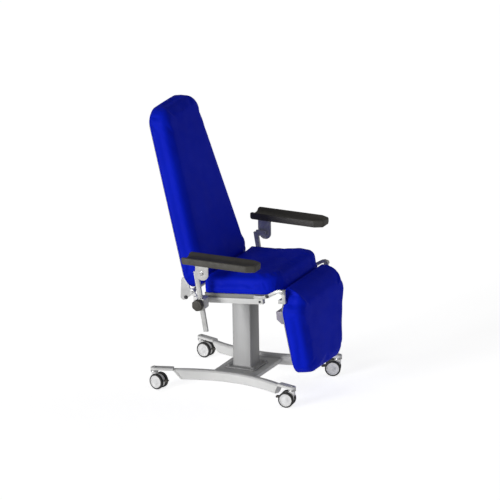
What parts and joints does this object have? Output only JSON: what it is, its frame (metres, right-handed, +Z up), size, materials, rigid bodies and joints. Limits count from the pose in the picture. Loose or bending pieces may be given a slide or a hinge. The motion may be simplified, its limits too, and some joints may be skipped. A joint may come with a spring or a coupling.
{
  "type": "patient recliner chair",
  "caption": "Reclining patient chair on a lifting column and a castored base, with a hinged backrest, a hinged legrest and height-adjustable swing-up armrests.",
  "frame": {"origin": "on the floor, under the middle of the chair's outline seen from above", "axes": "+Z up, -Y the way the chair faces, +X the seated patient's left"},
  "size_m": [0.836, 0.8431, 1.3409],
  "materials": {
    "white_paint": "smooth light powder coat, satin",
    "grey_paint": "dark grey powder coat, satin",
    "black_paint": "black enamel",
    "column_aluminium": "satin extruded",
    "dark_plastic": "fine grained moulding",
    "steel": "satin plated",
    "board": "painted plywood, matt",
    "upholstery": "wipe-clean artificial leather, slight sheen",
    "channel_paint": "satin lavender grey",
    "castor_shell": "moulded light grey",
    "castor_wheel": "black tread round a light grey disc"
  },
  "bodies": {
    "base": {"side_rail_right": "white_paint", "side_rail_left": "white_paint", "castor_tongue_back_right": "white_paint", "castor_tongue_back_left": "white_paint", "castor_tongue_front_right": "white_paint", "castor_tongue_front_left": "white_paint", "cross_plate": "grey_paint", "column_outer_tube": "column_aluminium", "column_glide_ring": "dark_plastic", "lift_actuator_body": "grey_paint"},
    "lift": {"column_inner_tube": "column_aluminium", "lift_actuator_rod": "steel", "seat_rail_right": "white_paint", "seat_rail_left": "white_paint", "seat_cross_front": "white_paint", "seat_cross_rear": "white_paint", "seat_board": "board", "seat_cushion": "upholstery", "armrest_clamp_right": "steel", "armrest_clamp_left": "steel", "legrest_arm_right": "steel", "legrest_arm_left": "steel"},
    "backrest": {"backrest_cushion": "upholstery", "backrest_board": "board", "backrest_bracket_right": "steel", "backrest_bracket_left": "steel", "backrest_crank_bar": "steel"},
    "gas_cylinder": {"gas_spring_cylinder": "black_paint"},
    "gas_rod": {"gas_spring_rod": "steel"},
    "legrest": {"legrest_cushion": "upholstery", "legrest_board": "board", "legrest_channel": "channel_paint", "legrest_hook_right": "steel", "legrest_hook_left": "steel"},
    "post_right": {"armrest_post_right": "steel"},
    "armrest_right": {"armrest_ear_right": "steel", "armrest_pad_right": "dark_plastic"},
    "knob_right": {"armrest_knob_right": "dark_plastic"},
    "post_left": {"armrest_post_left": "steel"},
    "armrest_left": {"armrest_ear_left": "steel", "armrest_pad_left": "dark_plastic"},
    "knob_left": {"armrest_knob_left": "dark_plastic"},
    "castor_back_right": {"castor_back_right_housing": "castor_shell"},
    "wheel_back_right_a": {"castor_back_right_wheel_a": "castor_wheel"},
    "wheel_back_right_b": {"castor_back_right_wheel_b": "castor_wheel"},
    "brake_back_right": {"castor_back_right_brake": "dark_plastic"},
    "castor_back_left": {"castor_back_left_housing": "castor_shell"},
    "wheel_back_left_a": {"castor_back_left_wheel_a": "castor_wheel"},
    "wheel_back_left_b": {"castor_back_left_wheel_b": "castor_wheel"},
    "brake_back_left": {"castor_back_left_brake": "dark_plastic"},
    "castor_front_right": {"castor_front_right_housing": "castor_shell"},
    "wheel_front_right_a": {"castor_front_right_wheel_a": "castor_wheel"},
    "wheel_front_right_b": {"castor_front_right_wheel_b": "castor_wheel"},
    "brake_front_right": {"castor_front_right_brake": "dark_plastic"},
    "castor_front_left": {"castor_front_left_housing": "castor_shell"},
    "wheel_front_left_a": {"castor_front_left_wheel_a": "castor_wheel"},
    "wheel_front_left_b": {"castor_front_left_wheel_b": "castor_wheel"},
    "brake_front_left": {"castor_front_left_brake": "dark_plastic"}
  },
  "joints": [
    {"name": "seat_lift", "type": "slide", "parent": "base", "child": "lift", "axis": [0, 0, 1], "range_m": [0, 0.2]},
    {"name": "backrest_recline", "type": "hinge", "parent": "lift", "child": "backrest", "pos_m": [0, 0.1695, 0.49], "axis": [-1, 0, 0], "range_deg": [0, 70]},
    {"name": "gas_spring_swing", "type": "hinge", "parent": "lift", "child": "gas_cylinder", "pos_m": [0.12, -0.1465, 0.44], "axis": [1, 0, 0], "range_deg": [-0.5, 1.6]},
    {"name": "gas_spring_stroke", "type": "slide", "parent": "gas_cylinder", "child": "gas_rod", "axis": [0, 0.9996, 0.0294], "range_m": [-0.055, 0.001]},
    {"name": "legrest_raise", "type": "hinge", "parent": "lift", "child": "legrest", "pos_m": [0, -0.3065, 0.553], "axis": [-1, 0, 0], "range_deg": [0, 80]},
    {"name": "armrest_height_right", "type": "slide", "parent": "lift", "child": "post_right", "axis": [0, 0.1599, 0.9871], "range_m": [-0.08, 0.1]},
    {"name": "armrest_swing_right", "type": "hinge", "parent": "post_right", "child": "armrest_right", "pos_m": [-0.335, 0.0615, 0.628], "axis": [-1, 0, 0], "range_deg": [0, 75]},
    {"name": "knob_turn_right", "type": "hinge", "parent": "lift", "child": "knob_right", "pos_m": [-0.3535, 0.077, 0.474], "axis": [-1, 0, 0], "range_deg": [0, 270]},
    {"name": "armrest_height_left", "type": "slide", "parent": "lift", "child": "post_left", "axis": [0, 0.1599, 0.9871], "range_m": [-0.08, 0.1]},
    {"name": "armrest_swing_left", "type": "hinge", "parent": "post_left", "child": "armrest_left", "pos_m": [0.335, 0.0615, 0.628], "axis": [-1, 0, 0], "range_deg": [0, 75]},
    {"name": "knob_turn_left", "type": "hinge", "parent": "lift", "child": "knob_left", "pos_m": [0.3535, 0.077, 0.474], "axis": [1, 0, 0], "range_deg": [0, 270]},
    {"name": "castor_swivel_back_right", "type": "hinge", "parent": "base", "child": "castor_back_right", "pos_m": [-0.25, 0.3615, 0.08], "axis": [0, 0, 1], "continuous": true},
    {"name": "wheel_spin_back_right_a", "type": "hinge", "parent": "castor_back_right", "child": "wheel_back_right_a", "pos_m": [-0.2552, 0.33705, 0.0375], "axis": [0.9781, -0.2079, 0], "continuous": true},
    {"name": "wheel_spin_back_right_b", "type": "hinge", "parent": "castor_back_right", "child": "wheel_back_right_b", "pos_m": [-0.2552, 0.33705, 0.0375], "axis": [0.9781, -0.2079, 0], "continuous": true},
    {"name": "brake_pedal_back_right", "type": "hinge", "parent": "castor_back_right", "child": "brake_back_right", "pos_m": [-0.26258, 0.30232, 0.046], "axis": [-0.9781, 0.2079, 0], "range_deg": [0, 12]},
    {"name": "castor_swivel_back_left", "type": "hinge", "parent": "base", "child": "castor_back_left", "pos_m": [0.25, 0.3615, 0.08], "axis": [0, 0, 1], "continuous": true},
    {"name": "wheel_spin_back_left_a", "type": "hinge", "parent": "castor_back_left", "child": "wheel_back_left_a", "pos_m": [0.24652, 0.33674, 0.0375], "axis": [0.9903, -0.1392, 0], "continuous": true},
    {"name": "wheel_spin_back_left_b", "type": "hinge", "parent": "castor_back_left", "child": "wheel_back_left_b", "pos_m": [0.24652, 0.33674, 0.0375], "axis": [0.9903, -0.1392, 0], "continuous": true},
    {"name": "brake_pedal_back_left", "type": "hinge", "parent": "castor_back_left", "child": "brake_back_left", "pos_m": [0.24158, 0.30159, 0.046], "axis": [-0.9903, 0.1392, 0], "range_deg": [0, 12]},
    {"name": "castor_swivel_front_right", "type": "hinge", "parent": "base", "child": "castor_front_right", "pos_m": [-0.25, -0.3545, 0.08], "axis": [0, 0, 1], "continuous": true},
    {"name": "wheel_spin_front_right_a", "type": "hinge", "parent": "castor_front_right", "child": "wheel_front_right_a", "pos_m": [-0.25305, -0.32969, 0.0375], "axis": [-0.9925, -0.1219, 0], "continuous": true},
    {"name": "wheel_spin_front_right_b", "type": "hinge", "parent": "castor_front_right", "child": "wheel_front_right_b", "pos_m": [-0.25305, -0.32969, 0.0375], "axis": [-0.9925, -0.1219, 0], "continuous": true},
    {"name": "brake_pedal_front_right", "type": "hinge", "parent": "castor_front_right", "child": "brake_front_right", "pos_m": [-0.25737, -0.29445, 0.046], "axis": [0.9925, 0.1219, 0], "range_deg": [0, 12]},
    {"name": "castor_swivel_front_left", "type": "hinge", "parent": "base", "child": "castor_front_left", "pos_m": [0.25, -0.3545, 0.08], "axis": [0, 0, 1], "continuous": true},
    {"name": "wheel_spin_front_left_a", "type": "hinge", "parent": "castor_front_left", "child": "wheel_front_left_a", "pos_m": [0.24063, -0.33132, 0.0375], "axis": [-0.9272, -0.3746, 0], "continuous": true},
    {"name": "wheel_spin_front_left_b", "type": "hinge", "parent": "castor_front_left", "child": "wheel_front_left_b", "pos_m": [0.24063, -0.33132, 0.0375], "axis": [-0.9272, -0.3746, 0], "continuous": true},
    {"name": "brake_pedal_front_left", "type": "hinge", "parent": "castor_front_left", "child": "brake_front_left", "pos_m": [0.22734, -0.2984, 0.046], "axis": [0.9272, 0.3746, 0], "range_deg": [0, 12]}
  ],
  "couplings": [
    {"joint": "gas_spring_swing", "follows": "backrest_recline", "ratio": 0.01522},
    {"joint": "gas_spring_stroke", "follows": "backrest_recline", "m_per_rad": -0.04354}
  ]
}
